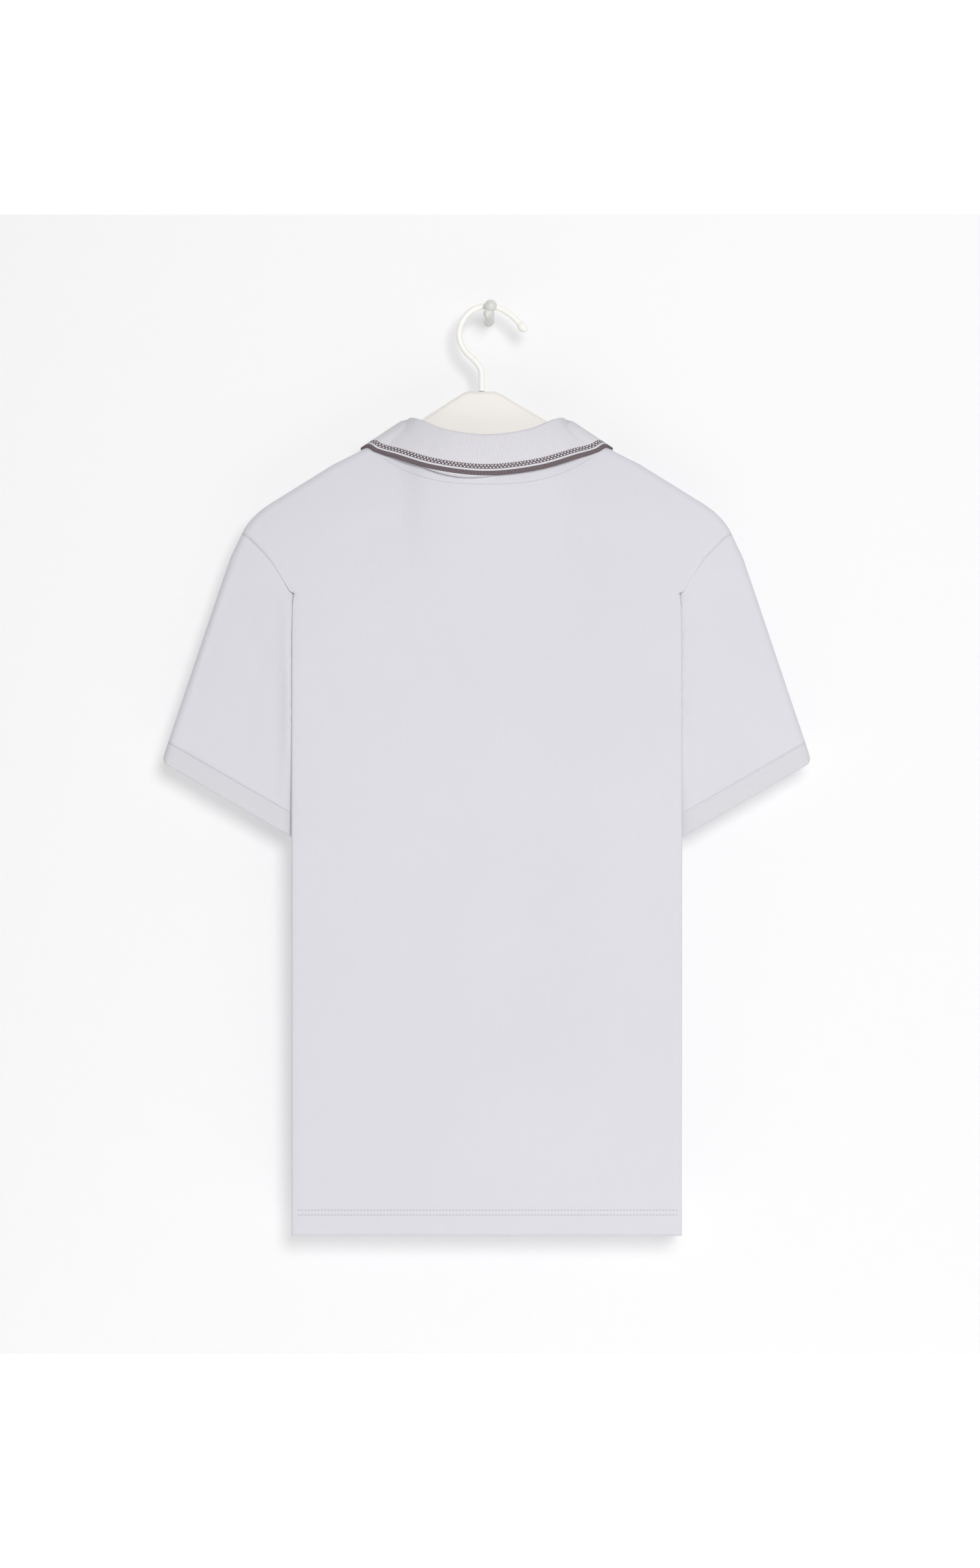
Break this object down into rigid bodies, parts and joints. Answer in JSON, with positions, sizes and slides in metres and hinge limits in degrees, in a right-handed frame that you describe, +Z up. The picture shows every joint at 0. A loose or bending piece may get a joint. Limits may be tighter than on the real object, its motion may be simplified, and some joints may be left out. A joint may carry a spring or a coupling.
{
  "type": "polo shirt on a hanger and wall peg",
  "caption": "Short-sleeved pale polo shirt with a striped rib collar, hung flat on a cream hanger from a small wall peg.",
  "frame": {"origin": "centre of the wall peg's flat back face, on the wall", "axes": "+Z up, +Y out of the wall towards the shirt's back, +X towards the wearer's left"},
  "size_m": [0.5934, 0.0676, 0.8562],
  "materials": {
    "shirt_cloth": "fine pale knit",
    "rib_cloth": "fine rib knit",
    "collar_rib": "rib knit with woven-in dark bands",
    "button": "pearly",
    "hanger": "satin cream",
    "peg": "white"
  },
  "bodies": {
    "root": {"back_panel": "shirt_cloth", "front_panel": "shirt_cloth", "collar": "collar_rib", "sleeve_left": "shirt_cloth", "sleeve_right": "shirt_cloth", "cuff_left": "rib_cloth", "cuff_right": "rib_cloth", "placket_top": "shirt_cloth", "placket_under": "shirt_cloth", "button_1": "button", "button_2": "button", "button_3": "button", "hanger_body": "hanger", "hanger_hook": "hanger", "wall_peg": "peg"}
  },
  "joints": []
}
